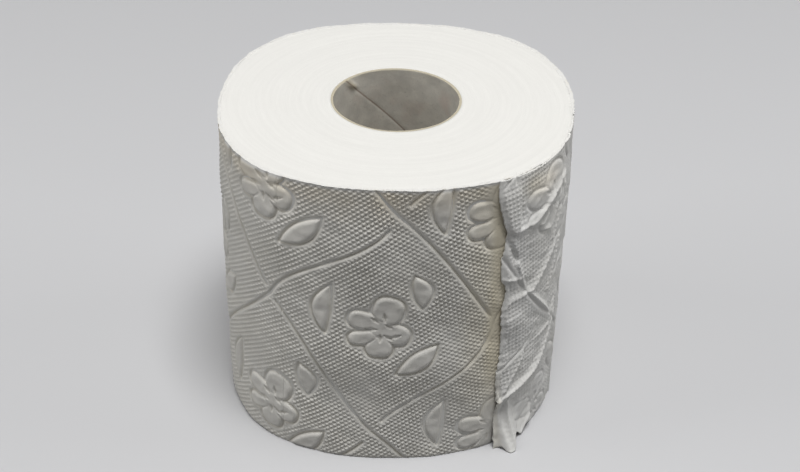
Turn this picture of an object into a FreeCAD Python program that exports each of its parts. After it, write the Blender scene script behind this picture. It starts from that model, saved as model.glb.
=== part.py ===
import FreeCAD, Part
import Sketcher
import math
import os

from FreeCAD import Vector

# A toilet paper roll that stands on one end: a web of tissue wound on a card tube, with its loose
# end, the tail, held to the last turn by a strip of glue. Blossoms, leaves and crossing vines are
# embossed in the web. Millimetres, +Z up. The origin is on the axis of the tube, at the end that
# the roll stands on. Angles run counter-clockwise from +X, seen from above, and the front is -Y.
# The web is measured from the free edge of its tail: "along" is how far a point lies from it.

SIZES = (
    ("sheet_width", 100.0, "width of the web, which is the height of the roll"),
    ("roll_radius", 55.0, "mean radius where the last turn begins"),
    ("long_bulge", 0.97, "how far the outline stands out on its long axis"),
    ("long_bulge_angle", 12.0, "angle of that axis"),
    ("corner_bulge", 1.5, "how far the outline stands out at its four soft corners"),
    ("core_bore_radius", 19.4, "inside radius of the card tube"),
    ("core_wall", 0.7, "wall of the card tube"),
    ("seam_lead", 125.0, "rise of the tube's spiral seam in one turn"),
    ("seam_width", 0.5, "width of the seam's gap"),
    ("seam_depth", 0.3, "depth of the seam's gap"),
    ("seam_top_angle", 145.5, "angle where the seam reaches the top end"),
    ("web_step", 0.5, "height of the step that one turn of the web makes"),
    ("web_thickness", 0.35, "thickness of the loose tail"),
    ("tail_edge_angle", -52.5, "angle of the tail's free edge"),
    ("tail_length", 50.0, "length of the loose tail along the web"),
    ("tail_air", 0.25, "air between the tail and the turn under it"),
    ("tail_top_lead", 3.8, "how far the free edge runs ahead at the top"),
    ("tail_bottom_lag", 4.8, "how far the free edge falls back at the bottom"),
    ("glue_width", 4.0, "width of the glued strip along the free edge"),
    ("glue_bottom", 18.0, "height where the glued strip begins"),
    ("glue_top", 79.0, "height where the glued strip ends"),
    ("fold_lift", 1.3, "how far a fold's ridge lifts off the roll"),
    ("fold_width", 4.5, "half width of a fold's ridge"),
    ("corner_flare", 4.2, "how far the tail's bottom corner stands out"),
    ("corner_height", 15.0, "height of the flared corner"),
    ("turn_line_count", 2.5, "turns of the line that shows on each end"),
    ("turn_line_width", 0.45, "width of that line"),
    ("turn_line_depth", 0.3, "depth of that line"),
    ("turn_line_start", 6.0, "distance of the line's inner end from the tube"),
    ("turn_line_margin", 4.0, "distance of the line's outer end from the rim"),
    ("repeat_along", 72.4, "distance of one blossom from the next along the web"),
    ("repeat_drop", 7.24, "how far that next blossom lies lower"),
    ("repeat_up", 80.0, "distance of one blossom from the next across the web"),
    ("pattern_along", 307.2, "place along the web of the blossom that the pattern starts from"),
    ("pattern_height", 51.9, "height of that blossom"),
    ("pattern_clear", 1.5, "plain strip where the tail covers or leaves the web"),
    ("emboss_height", 0.45, "how far blossoms and leaves stand out"),
    ("petal_reach", 11.2, "distance of a petal's tip from the blossom's middle"),
    ("petal_notch", 6.7, "distance of the notch between two petals from the middle"),
    ("petal_count", 5.0, "petals of a blossom"),
    ("petal_turn", 75.0, "direction of the first petal"),
    ("vine_width", 1.2, "width of a vine's groove"),
    ("vine_depth", 0.4, "depth of a vine's groove"),
    ("vine_break", 4.5, "gap that a vine leaves on each side of one that it passes under"),
    ("vine_sway_rising", 2.1, "sideways sway of a rising vine"),
    ("vine_sway_falling", 4.8, "sideways sway of a falling vine"),
    ("side_leaf_along", -17.3, "place of the side leaf, from the blossom's middle"),
    ("side_leaf_up", 5.2, "height of the side leaf above the blossom's middle"),
    ("side_leaf_length", 17.9, "length of the side leaf"),
    ("side_leaf_width", 7.5, "width of the side leaf"),
    ("side_leaf_turn", 84.5, "direction of the side leaf"),
    ("side_leaf_bend", 1.7, "sideways bend of the side leaf"),
    ("top_leaf_along", 10.8, "place of the top leaf, from the blossom's middle"),
    ("top_leaf_up", 12.6, "height of the top leaf above the blossom's middle"),
    ("top_leaf_length", 12.3, "length of the top leaf"),
    ("top_leaf_width", 5.0, "width of the top leaf"),
    ("top_leaf_turn", 103.0, "direction of the top leaf"),
    ("top_leaf_bend", -0.9, "sideways bend of the top leaf"),
    ("low_leaf_along", 10.8, "place of the low leaf, from the blossom's middle"),
    ("low_leaf_up", -12.4, "height of the low leaf above the blossom's middle"),
    ("low_leaf_length", 17.7, "length of the low leaf"),
    ("low_leaf_width", 7.0, "width of the low leaf"),
    ("low_leaf_turn", 41.8, "direction of the low leaf"),
    ("low_leaf_bend", 0.6, "sideways bend of the low leaf"),
)

# Folds of the tail, each from one end to the other, as distance along the web and height.
TAIL_FOLDS = (
    ((-1.7, 82.1), (12.0, 82.0)),
    ((12.0, 82.0), (24.5, 86.0)),
    ((-0.7, 52.9), (9.3, 56.6)),
    ((9.3, 56.6), (28.0, 66.0)),
    ((9.3, 56.6), (24.0, 39.5)),
    ((-0.8, 18.2), (14.2, 21.5)),
    ((14.2, 21.5), (24.5, 42.0)),
    ((23.0, 75.8), (19.6, 53.6)),
    ((33.0, 100.0), (38.0, 60.0)),
    ((35.0, 0.0), (31.0, 40.0)),
)

# How finely round forms are cut into flats, whatever the sizes. Where flats meet, embossing has
# straight edges, which keeps the roll light.
OUTLINE_FLAT = math.radians(4.5)
TURN_LINE_FLAT = math.radians(9)
PETAL_FLATS = 7
LEAF_FLATS = 4
VINE_FLATS = 5
TAIL_ROWS = 15
TAIL_COLUMNS = 10
# How far a tool runs past the surface that it meets, so that no two faces coincide.
OVERRUN = 1.0
SINK = 0.25
FULL_TURN = 2 * math.pi


def make_sheet(doc):
    """Write the driving sizes into a spreadsheet, one named cell each."""
    cells = doc.addObject("Spreadsheet::Sheet", "Sizes")
    for row, (alias, value, meaning) in enumerate(SIZES, start=1):
        cells.set(f"A{row}", meaning)
        cells.set(f"B{row}", str(value))
        cells.setAlias(f"B{row}", alias)
    doc.recompute()
    return cells


doc = FreeCAD.newDocument("toilet_paper_roll")
cells = make_sheet(doc)


def size(alias):
    """One driving size, read from the sheet."""
    return float(cells.get(alias))


def origin_feature(body, role):
    """A plane or axis of a body's own origin."""
    return next(item for item in body.Origin.OriginFeatures if item.Role == role)


def add_feature(name, shape):
    """Put a shape that was worked out here into the document."""
    feature = doc.addObject("Part::Feature", name)
    feature.Shape = shape
    return feature


# Card tube

def make_core_tube():
    """A tube of card, with the open seam of its spiral winding on the inside."""
    body = doc.addObject("PartDesign::Body", "CoreTube")
    body.Label = "core_tube"

    ring = body.newObject("Sketcher::SketchObject", "TubeRing")
    ring.AttachmentSupport = [(origin_feature(body, "XY_Plane"), "")]
    ring.MapMode = "FlatFace"
    bore = size("core_bore_radius")
    wall = size("core_wall")
    up = Vector(0, 0, 1)
    ring.addGeometry([Part.Circle(Vector(), up, bore), Part.Circle(Vector(), up, bore + wall)], False)
    for circle in (0, 1):
        ring.addConstraint(Sketcher.Constraint("Coincident", circle, 3, -1, 1))
        ring.addConstraint(Sketcher.Constraint("Radius", circle, bore + circle * wall))
    ring.setExpression("Constraints[1]", "Sizes.core_bore_radius")
    ring.setExpression("Constraints[3]", "Sizes.core_bore_radius + Sizes.core_wall")

    tube = body.newObject("PartDesign::Pad", "TubeWall")
    tube.Profile = ring
    tube.setExpression("Length", "Sizes.sheet_width")
    doc.recompute()

    # The seam's profile stands in the XZ plane at +X, below the tube by as much as the seam must
    # rise to pass the top end at its own angle.
    lead = size("seam_lead")
    top_turns = size("seam_top_angle") / 360
    start_height = size("sheet_width") - lead * (1 + top_turns)
    inner = bore - OVERRUN
    outer = bore + size("seam_depth")
    half = size("seam_width") / 2
    corners = (
        Vector(inner, start_height - half, 0),
        Vector(outer, start_height - half, 0),
        Vector(outer, start_height + half, 0),
        Vector(inner, start_height + half, 0),
    )
    profile = body.newObject("Sketcher::SketchObject", "SeamProfile")
    profile.AttachmentSupport = [(origin_feature(body, "XZ_Plane"), "")]
    profile.MapMode = "FlatFace"
    sides = [Part.LineSegment(corners[i], corners[(i + 1) % 4]) for i in range(4)]
    profile.addGeometry(sides, False)

    seam = body.newObject("PartDesign::SubtractiveHelix", "Seam")
    seam.Profile = profile
    seam.ReferenceAxis = (origin_feature(body, "Z_Axis"), [""])
    seam.Mode = 0
    seam.setExpression("Pitch", "Sizes.seam_lead")
    seam.Height = size("sheet_width") - start_height + lead / 10
    seam.LeftHanded = False
    seam.Reversed = False
    doc.recompute()
    return body


# Outline of the wound paper

def tail_edge():
    """Angle of the tail's free edge."""
    return math.radians(size("tail_edge_angle"))


def tail_root():
    """Angle where the tail leaves the roll, and where the last whole turn begins."""
    return tail_edge() + size("tail_length") / size("roll_radius")


def outer_radius(angle):
    """Radius of the outermost turn: nearly round, a little long one way, with four soft corners."""
    long_way = math.cos(2 * (angle - math.radians(size("long_bulge_angle"))))
    corners = -math.cos(4 * angle)
    return size("roll_radius") + size("long_bulge") * long_way + size("corner_bulge") * corners


def wound_radius(angle):
    """Radius of the web's last turn, which winds in by one step in one turn from the tail's root."""
    return outer_radius(angle) - size("web_step") * (angle - tail_root()) / FULL_TURN


def polar(angle, radius, height=0.0):
    """A point from its angle, radius and height."""
    return Vector(radius * math.cos(angle), radius * math.sin(angle), height)


def line(start, end):
    """A straight edge."""
    return Part.LineSegment(start, end).toShape()


def face_of(edges):
    """The flat face that a closed chain of edges bounds."""
    return Part.Face(Part.Wire(Part.__sortEdges__(edges)))


def flat_chain(points):
    """A chain of straight edges through the points."""
    return [line(points[i], points[i + 1]) for i in range(len(points) - 1)]


def shares(count):
    """Evenly spaced shares from 0 to 1, both included."""
    return [i / count for i in range(count + 1)]


def wound_edges(start, end, offset=0.0):
    """The web's last turn from one angle to another, set out by an offset."""
    count = max(1, round((end - start) / OUTLINE_FLAT))
    angles = [start + (end - start) * share for share in shares(count)]
    return flat_chain([polar(angle, wound_radius(angle) + offset) for angle in angles])


def wound_face(start, end, inner, outer):
    """The flat ring sector between two offsets of the web's last turn."""
    sides = [line(polar(angle, wound_radius(angle) + inner), polar(angle, wound_radius(angle) + outer))
             for angle in (start, end)]
    return face_of(wound_edges(start, end, inner) + wound_edges(start, end, outer) + sides)


def make_wound_block():
    """The whole winding: its spiral outline, raised to the width of the web, less the tube."""
    root = tail_root()
    end = root + FULL_TURN
    step = line(polar(end, wound_radius(end)), polar(root, wound_radius(root)))
    outline = add_feature("WoundOutline", face_of(wound_edges(root, end) + [step]))

    block = doc.addObject("Part::Extrusion", "WoundBlock")
    block.Base = outline
    block.DirMode = "Custom"
    block.Dir = Vector(0, 0, 1)
    block.Solid = True
    block.setExpression("LengthFwd", "Sizes.sheet_width")

    space = doc.addObject("Part::Cylinder", "TubeSpace")
    space.setExpression("Radius", "Sizes.core_bore_radius + Sizes.core_wall")
    space.setExpression("Height", "Sizes.sheet_width")

    winding = doc.addObject("Part::Cut", "Winding")
    winding.Base = block
    winding.Tool = space
    return winding


# Embossing

def blossom_places():
    """Middles of the blossoms, as distance along the web, height and row: 0, or 1 between rows."""
    along = size("repeat_along")
    drop = size("repeat_drop")
    up = size("repeat_up")
    reach = size("petal_reach") + size("side_leaf_length")
    last = FULL_TURN * size("roll_radius")
    places = []
    for half in (0, 1):
        for i in range(-math.ceil(last / along) - 1, 2):
            for j in (-2, -1, 0, 1, 2):
                place = size("pattern_along") + (i + half / 2) * along
                height = size("pattern_height") - (i + half / 2) * drop + (j + half / 2) * up
                near_web = size("tail_length") - reach < place < last + reach
                if near_web and -reach < height < size("sheet_width") + reach:
                    places.append((place, height, half))
    return places


def on_wall(centre_along, along, height, depth):
    """A point of an outline drawn on the wall, on a flat plane that lies a depth under it."""
    radius = size("roll_radius")
    centre = tail_edge() + centre_along / radius
    sideways = radius * math.sin((along - centre_along) / radius)
    return polar(centre, radius - depth, height) + polar(centre + math.pi / 2, sideways)


def prism(centre_along, edges):
    """A prism through the wall, from a closed outline that lies under the wall."""
    centre = tail_edge() + centre_along / size("roll_radius")
    return face_of(edges).extrude(polar(centre, prism_depth() + prism_rise()))


def prism_depth():
    """How far under the mean wall a prism starts, so that it passes the wall's whole curve."""
    radius = size("roll_radius")
    widest = size("repeat_along") / 4
    return radius * (1 - math.cos(widest / radius)) + size("corner_bulge") + 3 * OVERRUN


def prism_rise():
    """How far a prism stands out past the mean wall."""
    return size("long_bulge") + size("corner_bulge") + 2 * OVERRUN


def blossom_edges(along, height):
    """Outline of a blossom: round petals, each the part of a circle from notch to notch."""
    count = round(size("petal_count"))
    half = math.pi / count
    reach = size("petal_reach")
    notch = size("petal_notch")
    depth = prism_depth()
    # The petal's circle goes through its tip and both notches.
    middle = (reach ** 2 - notch ** 2) / (2 * (reach - notch * math.cos(half)))
    radius = reach - middle
    sweep = math.atan2(notch * math.sin(half), notch * math.cos(half) - middle)

    def point(direction, share):
        around = direction + (2 * share - 1) * sweep
        return on_wall(along, along + middle * math.cos(direction) + radius * math.cos(around),
                       height + middle * math.sin(direction) + radius * math.sin(around), depth)

    points = []
    for petal in range(count):
        direction = math.radians(size("petal_turn")) + 2 * half * petal
        points += [point(direction, share) for share in shares(PETAL_FLATS)[:-1]]
    return flat_chain(points + points[:1])


def leaf_edges(along, height, leaf):
    """Outline of a leaf: two bows from tip to tip, both pushed aside by its bend."""
    turn = math.radians(size(leaf + "_turn"))
    length = size(leaf + "_length")
    half_width = size(leaf + "_width") / 2
    middle_along = along + size(leaf + "_along")
    middle_height = height + size(leaf + "_up")
    depth = prism_depth()

    def point(share, side):
        forward = length * (share - 0.5)
        aside = (size(leaf + "_bend") + side * half_width) * (1 - (2 * share - 1) ** 2)
        return on_wall(middle_along,
                       middle_along + forward * math.cos(turn) - aside * math.sin(turn),
                       middle_height + forward * math.sin(turn) + aside * math.cos(turn), depth)

    edges = []
    for side in (-1, 1):
        edges += flat_chain([point(share, side) for share in shares(LEAF_FLATS)])
    return edges


def vine_edges(start, end, breaks, sway):
    """Outline of a vine between two crossings: a band bowed aside by its sway.

    The band stops short of each crossing by its break, where it passes under the other vine.
    """
    run = math.hypot(end[0] - start[0], end[1] - start[1])
    forward = ((end[0] - start[0]) / run, (end[1] - start[1]) / run)
    centre = (start[0] + end[0]) / 2
    depth = prism_depth()
    half = size("vine_width") / 2
    first = breaks[0] / run
    last = 1 - breaks[1] / run

    def point(share, aside):
        place = first + (last - first) * share
        offset = aside + sway * (1 - (2 * place - 1) ** 2)
        along = start[0] + forward[0] * run * place - forward[1] * offset
        height = start[1] + forward[1] * run * place + forward[0] * offset
        return on_wall(centre, along, height, depth)

    sides = [[point(share, aside) for share in shares(VINE_FLATS)] for aside in (-half, half)]
    ends = [line(sides[0][i], sides[1][i]) for i in (0, -1)]
    return flat_chain(sides[0]) + flat_chain(sides[1]) + ends


def pressed_ring(inner, outer):
    """The layer of the wall that embossing may change, clear of the step and of the tail."""
    clear = size("pattern_clear") / size("roll_radius")
    start = tail_root() + clear
    end = tail_edge() + FULL_TURN - clear - size("tail_top_lead") / size("roll_radius")
    return wound_face(start, end, inner, outer).extrude(Vector(0, 0, size("sheet_width")))


def in_ring(ring, centre_along, edges):
    """The pieces of a prism that lie in a ring, or none."""
    return prism(centre_along, edges).common(ring).Solids


def make_motifs():
    """Blossoms and leaves, each a low pad that stands out from the wall."""
    ring = pressed_ring(-SINK, size("emboss_height"))
    pads = []
    for along, height, _ in blossom_places():
        pads += in_ring(ring, along, blossom_edges(along, height))
        for leaf in ("side_leaf", "top_leaf", "low_leaf"):
            centre = along + size(leaf + "_along")
            pads += in_ring(ring, centre, leaf_edges(along, height, leaf))
    return add_feature("Motifs", Part.makeCompound(pads))


def make_vines():
    """Grooves of the crossing vines, which form a diamond round each blossom.

    A rising vine runs from the diamond's left corner to its top, and a falling one from there to
    its right corner. At the left and right corners the rising vine passes over, and at the top
    the falling one does.
    """
    ring = pressed_ring(-size("vine_depth"), OVERRUN)
    along_step = size("repeat_along") / 2
    drop_step = size("repeat_drop") / 2
    up_step = size("repeat_up") / 2
    short = size("vine_width") / 4
    broken = size("vine_break")
    grooves = []
    for along, height, half in blossom_places():
        left = (along - along_step, height + drop_step)
        top = (along, height + up_step)
        right = (along + along_step, height - drop_step)
        falling_sway = size("vine_sway_falling") * (1 - 2 * half)
        for start, end, breaks, sway in (
            (left, top, (short, broken), -size("vine_sway_rising")),
            (top, right, (short, broken), falling_sway),
        ):
            centre = (start[0] + end[0]) / 2
            grooves += in_ring(ring, centre, vine_edges(start, end, breaks, sway))
    return add_feature("Vines", Part.makeCompound(grooves))


# Ends of the roll

def make_turn_lines():
    """The line between turns on both ends: a shallow spiral groove that follows the outline."""
    core = size("core_bore_radius") + size("core_wall")
    turns = size("turn_line_count")
    half = size("turn_line_width") / 2
    count = max(2, round(turns * FULL_TURN / TURN_LINE_FLAT))

    def spiral_point(share, aside):
        angle = tail_root() + share * turns * FULL_TURN
        inner = core + size("turn_line_start")
        outer = outer_radius(angle) - size("turn_line_margin")
        return polar(angle, inner + (outer - inner) * share + aside)

    sides = [[spiral_point(share, aside) for share in shares(count)] for aside in (-half, half)]
    ends = [line(sides[0][i], sides[1][i]) for i in (0, -1)]
    face = face_of(flat_chain(sides[0]) + flat_chain(sides[1]) + ends)
    depth = size("turn_line_depth")
    bottom = face.extrude(Vector(0, 0, depth + OVERRUN))
    bottom.translate(Vector(0, 0, -OVERRUN))
    top = face.extrude(Vector(0, 0, depth + OVERRUN))
    top.translate(Vector(0, 0, size("sheet_width") - depth))
    return add_feature("TurnLines", Part.makeCompound([bottom, top]))


# Tail

def ease(value):
    """Zero below 0, one above 1, and a smooth rise between."""
    value = min(1.0, max(0.0, value))
    return value * value * (3 - 2 * value)


def free_edge(height):
    """Where the free edge lies along the web: ahead at the top, and falling back at the bottom."""
    ahead = ease((height - size("glue_top")) / (size("sheet_width") - size("glue_top")))
    back = ease(1 - height / size("glue_bottom"))
    return size("tail_bottom_lag") * back - size("tail_top_lead") * ahead


def distance_to(fold, along, height):
    """Distance of a point of the tail from the line of a fold."""
    (start_along, start_height), (end_along, end_height) = fold
    run = (end_along - start_along, end_height - start_height)
    offset = (along - start_along, height - start_height)
    share = (offset[0] * run[0] + offset[1] * run[1]) / (run[0] ** 2 + run[1] ** 2)
    share = min(1.0, max(0.0, share))
    return math.hypot(offset[0] - share * run[0], offset[1] - share * run[1])


def tail_lift(along, height):
    """How far the tail's inner side stands off the turn under it.

    It rises to a ridge along each fold, flares at the bottom corner, and sinks into that turn
    where the glue holds it and at its root.
    """
    lift = size("tail_air")
    for fold in TAIL_FOLDS:
        near = 1 - distance_to(fold, along, height) / size("fold_width")
        lift = max(lift, size("tail_air") + size("fold_lift") * near)
    past_edge = along - free_edge(height)
    corner = ease(1 - height / size("corner_height")) * ease(1.2 - past_edge / size("corner_height"))
    lift += size("corner_flare") * corner
    glued = size("glue_bottom") <= height <= size("glue_top") and past_edge <= size("glue_width")
    return -SINK / 2 if glued else lift


def make_tail():
    """The loose tail: a thin folded sheet of flat facets, from its free edge to its root.

    The sheet has two sides of the same folds, one the web's thickness outside the other, and its
    rim joins them. Its root runs into the step of the last turn.
    """
    width = size("sheet_width")
    radius = size("roll_radius")
    root = size("tail_length")
    thickness = size("web_thickness")

    def column_along(column, height):
        edge = free_edge(height)
        return edge + (root - edge) * column / (TAIL_COLUMNS - 1)

    def corner(row, column, side):
        height = width * row / (TAIL_ROWS - 1)
        along = column_along(column, height)
        lift = tail_lift(along, height)
        if column == TAIL_COLUMNS - 1:
            along = root + OVERRUN
            lift = size("web_step") - thickness - SINK / 4
        angle = tail_edge() + along / radius
        return polar(angle, wound_radius(angle + FULL_TURN) + lift + side * thickness, height)

    grid = [[[corner(row, column, side) for column in range(TAIL_COLUMNS)]
             for row in range(TAIL_ROWS)] for side in (0, 1)]

    facets = []

    def add_quad(a, b, c, d):
        for triangle in ((a, b, c), (a, c, d)):
            facets.append(Part.Face(Part.makePolygon(list(triangle) + [triangle[0]])))

    for row in range(TAIL_ROWS - 1):
        for column in range(TAIL_COLUMNS - 1):
            for side in (0, 1):
                add_quad(grid[side][row][column], grid[side][row][column + 1],
                         grid[side][row + 1][column + 1], grid[side][row + 1][column])
    for row in range(TAIL_ROWS - 1):
        for column in (0, TAIL_COLUMNS - 1):
            add_quad(grid[0][row][column], grid[1][row][column],
                     grid[1][row + 1][column], grid[0][row + 1][column])
    for column in range(TAIL_COLUMNS - 1):
        for row in (0, TAIL_ROWS - 1):
            add_quad(grid[0][row][column], grid[1][row][column],
                     grid[1][row][column + 1], grid[0][row][column + 1])
    shell = Part.makeShell(facets)
    shell.sewShape()
    solid = Part.makeSolid(shell)
    if solid.Volume < 0:
        solid.reverse()
    return add_feature("Tail", solid)


# Wound paper

def make_paper_roll():
    """The winding with its tail and raised motifs, less the vines and the lines of its turns."""
    raised = doc.addObject("Part::MultiFuse", "RaisedPaper")
    raised.Shapes = [make_wound_block(), make_motifs(), make_tail()]
    raised.Refine = False

    lined = doc.addObject("Part::Cut", "LinedPaper")
    lined.Base = raised
    lined.Tool = make_turn_lines()
    lined.Refine = False

    paper = doc.addObject("Part::Cut", "PaperRoll")
    paper.Label = "paper_roll"
    paper.Base = lined
    paper.Tool = make_vines()
    paper.Refine = False
    doc.recompute()
    return paper


def check_document():
    """Stop if any object of the document failed, because a recompute doesn't say so."""
    for item in doc.Objects:
        if "Invalid" in item.State or "Error" in item.State:
            raise RuntimeError(f"{item.Name} failed: {item.State}")


def export(sub_part):
    """Write one sub-part's shape to its own file, named by its label."""
    shape = sub_part.Shape
    if shape.isNull() or not shape.isValid() or len(shape.Solids) != 1:
        raise RuntimeError(f"{sub_part.Label} is not one valid solid")
    shape.exportStep(f"parts/{sub_part.Label}.step")


sub_parts = [make_core_tube(), make_paper_roll()]
check_document()
os.makedirs("parts", exist_ok=True)
for sub_part in sub_parts:
    export(sub_part)
    print(sub_part.Label, round(sub_part.Shape.Volume / 1000, 2), "cubic centimetres")
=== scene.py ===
import bpy
import math
import numpy as np
from bpy.props import FloatProperty, FloatVectorProperty, PointerProperty
from mathutils import Matrix, Vector


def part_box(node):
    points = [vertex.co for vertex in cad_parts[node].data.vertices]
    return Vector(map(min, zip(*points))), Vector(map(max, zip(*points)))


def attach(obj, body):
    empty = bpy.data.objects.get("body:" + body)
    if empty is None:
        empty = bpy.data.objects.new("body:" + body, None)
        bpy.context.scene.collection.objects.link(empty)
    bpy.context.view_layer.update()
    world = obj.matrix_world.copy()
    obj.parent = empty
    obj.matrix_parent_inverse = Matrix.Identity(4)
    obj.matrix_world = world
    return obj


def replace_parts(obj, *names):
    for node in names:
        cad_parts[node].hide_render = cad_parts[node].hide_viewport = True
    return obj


# Dresses a toilet paper roll that stands on one end. Metres, +Z up, the roll's axis on Z and its
# front at -Y. The web is measured from the free edge of its loose tail: "along" is how far a point
# lies from that edge, counter-clockwise seen from above, and "height" is its distance from the floor.

bl_info = {
    "name": "Toilet Paper Roll",
    "version": (1, 0, 0),
    "blender": (4, 5, 0),
    "location": "View3D > Sidebar > Paper Roll",
    "description": "Builds the embossed paper, loose tail, card tube and stage of a toilet paper roll",
    "category": "Add Mesh",
}

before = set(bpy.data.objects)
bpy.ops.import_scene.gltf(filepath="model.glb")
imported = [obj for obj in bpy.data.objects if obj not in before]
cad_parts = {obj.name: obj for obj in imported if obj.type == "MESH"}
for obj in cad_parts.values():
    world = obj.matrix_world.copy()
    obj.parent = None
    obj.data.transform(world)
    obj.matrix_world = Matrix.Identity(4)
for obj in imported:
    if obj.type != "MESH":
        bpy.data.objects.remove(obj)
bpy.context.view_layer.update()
ROLL_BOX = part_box("paper_roll")
TUBE_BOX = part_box("core_tube")
MM = 0.001
FULL_TURN = 2 * math.pi


class RollSizes(bpy.types.PropertyGroup):
    """Sizes of the wound paper and of its tube."""
    width: FloatProperty(name="Paper width", description="Height of the standing roll",
                         default=ROLL_BOX[1][2] - ROLL_BOX[0][2], unit="LENGTH")
    radius: FloatProperty(name="Radius", description="Mean radius of the roll",
                          default=55.0 * MM, unit="LENGTH")
    long_bulge: FloatProperty(name="Long bulge", description="How far the roll is out of round",
                              default=0.97 * MM, unit="LENGTH")
    long_angle: FloatProperty(name="Long axis", description="Direction of the roll's long axis",
                              default=math.radians(12), subtype="ANGLE")
    corner_bulge: FloatProperty(name="Corner bulge", description="Rise of the four soft corners",
                                default=1.5 * MM, unit="LENGTH")
    tube_radius: FloatProperty(name="Tube radius", description="Outside radius of the card tube",
                               default=TUBE_BOX[1][0], unit="LENGTH")
    tube_wall: FloatProperty(name="Tube wall", description="Thickness of the card tube",
                             default=0.7 * MM, unit="LENGTH")
    step: FloatProperty(name="Turn step", description="How far one turn winds inwards",
                        default=0.5 * MM, unit="LENGTH")
    tail_angle: FloatProperty(name="Tail edge", description="Direction of the tail's free edge",
                              default=math.radians(-52.5), subtype="ANGLE")
    tail_length: FloatProperty(name="Tail length", description="Length of the loose tail",
                               default=50.0 * MM, unit="LENGTH")
    web: FloatProperty(name="Web thickness", description="Thickness of the embossed web",
                       default=0.3 * MM, unit="LENGTH")
    layer: FloatProperty(name="Layer thickness", description="Thickness of the modelled outer turn",
                         default=0.9 * MM, unit="LENGTH")


class EmbossSizes(bpy.types.PropertyGroup):
    """Sizes of the pattern that is pressed into the paper."""
    dot_along: FloatProperty(name="Dot pitch along", description="Repeat of the dots along the web",
                             default=2.5 * MM, unit="LENGTH")
    dot_up: FloatProperty(name="Dot pitch up", description="Repeat of the dots across the web",
                          default=1.54 * MM, unit="LENGTH")
    dot_height: FloatProperty(name="Dot height", description="Rise and dip of the dots",
                              default=0.33 * MM, unit="LENGTH")
    puff: FloatProperty(name="Puff", description="How far petals and leaves stand out",
                        default=0.36 * MM, unit="LENGTH")
    groove: FloatProperty(name="Groove depth", description="Depth of outlines and vines",
                          default=0.62 * MM, unit="LENGTH")
    groove_width: FloatProperty(name="Groove width", description="Half width of outlines and vines",
                                default=0.45 * MM, unit="LENGTH")
    repeat_along: FloatProperty(name="Repeat along", description="Distance of blossoms along the web",
                                default=72.4 * MM, unit="LENGTH")
    repeat_drop: FloatProperty(name="Repeat drop", description="How far the next blossom lies lower",
                               default=7.24 * MM, unit="LENGTH")
    repeat_up: FloatProperty(name="Repeat up", description="Distance of blossoms across the web",
                             default=80.0 * MM, unit="LENGTH")
    first_along: FloatProperty(name="First along", description="Place of the first blossom",
                               default=307.2 * MM, unit="LENGTH")
    first_height: FloatProperty(name="First height", description="Height of the first blossom",
                                default=51.9 * MM, unit="LENGTH")
    cell: FloatProperty(name="Cell along", description="Length of one mesh cell along the web",
                        default=0.40 * MM, unit="LENGTH")
    cell_up: FloatProperty(name="Cell up", description="Height of one mesh cell of the paper",
                           default=0.28 * MM, unit="LENGTH")


class RollColours(bpy.types.PropertyGroup):
    """Colours of the paper, the card and the stage."""
    tissue: FloatVectorProperty(name="Tissue", description="Bleached tissue", subtype="COLOR",
                                default=(0.80, 0.79, 0.755), min=0, max=1)
    # The glue tint also colours painted warm shade on the stretches of the last turn and painted shade
    # in their pits.
    glue: FloatVectorProperty(name="Glue tint", description="Tissue soaked with dry glue",
                              subtype="COLOR", default=(0.72, 0.66, 0.52), min=0, max=1)
    # Painted highlight: the colour of a glow painted where light would shine through the tissue under
    # its rim.
    lit_rim: FloatVectorProperty(name="Lit rim", description="Tissue that light shines through",
                                 subtype="COLOR", default=(0.93, 0.865, 0.745), min=0, max=1)
    card: FloatVectorProperty(name="Card", description="Grey board of the tube", subtype="COLOR",
                              default=(0.59, 0.565, 0.51), min=0, max=1)
    card_fibre: FloatVectorProperty(name="Card fibre", description="Pale fibres of the board",
                                    subtype="COLOR", default=(0.70, 0.67, 0.60), min=0, max=1)
    floor: FloatVectorProperty(name="Floor", description="Plain pale floor", subtype="COLOR",
                               default=(0.62, 0.62, 0.63), min=0, max=1)
    background: FloatVectorProperty(name="Background", description="Plain pale background",
                                    subtype="COLOR", default=(0.86, 0.87, 0.88), min=0, max=1)


def sizes():
    """The roll's sizes."""
    return bpy.context.scene.roll_sizes


def pattern():
    """The pattern's sizes."""
    return bpy.context.scene.emboss_sizes


def colours():
    """The colours."""
    return bpy.context.scene.roll_colours


# Outline of the roll

def ease(value):
    """Zero below 0, one above 1, and a smooth cubic rise between."""
    value = np.clip(value, 0.0, 1.0)
    return value * value * (3 - 2 * value)


def web_angle(along):
    """Direction of a place on the web: the free edge's angle plus the length over the radius."""
    return sizes().tail_angle + along / sizes().radius


def outline(angle):
    """Radius of the roll: its mean, a cosine of twice the angle, and four soft corners."""
    roll = sizes()
    long_way = np.cos(2 * (angle - roll.long_angle))
    return roll.radius + roll.long_bulge * long_way - roll.corner_bulge * np.cos(4 * angle)


def last_turn(along):
    """Radius of the last turn: the outline, wound in by one step for each turn past the root."""
    roll = sizes()
    turns = (along - roll.tail_length) / (FULL_TURN * roll.radius)
    return outline(web_angle(along)) - roll.step * turns


def polar(angle, radius, height):
    """Points from their angle, radius and height, as one array."""
    return np.stack([radius * np.cos(angle), radius * np.sin(angle), height + 0 * angle], axis=-1)


# Smooth noise

def waves(first, second, size, seed, count=12):
    """Soft noise from -1 to 1: a mean of sine waves in random directions, each about a size long."""
    draw = np.random.RandomState(seed)
    total = np.zeros(np.broadcast(first, second).shape)
    for _ in range(count):
        direction = draw.uniform(0, FULL_TURN)
        length = size * draw.uniform(0.6, 1.7)
        across = first * math.cos(direction) + second * math.sin(direction)
        total += np.sin(FULL_TURN * across / length + draw.uniform(0, FULL_TURN))
    return total / math.sqrt(count)


# Pattern

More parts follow.
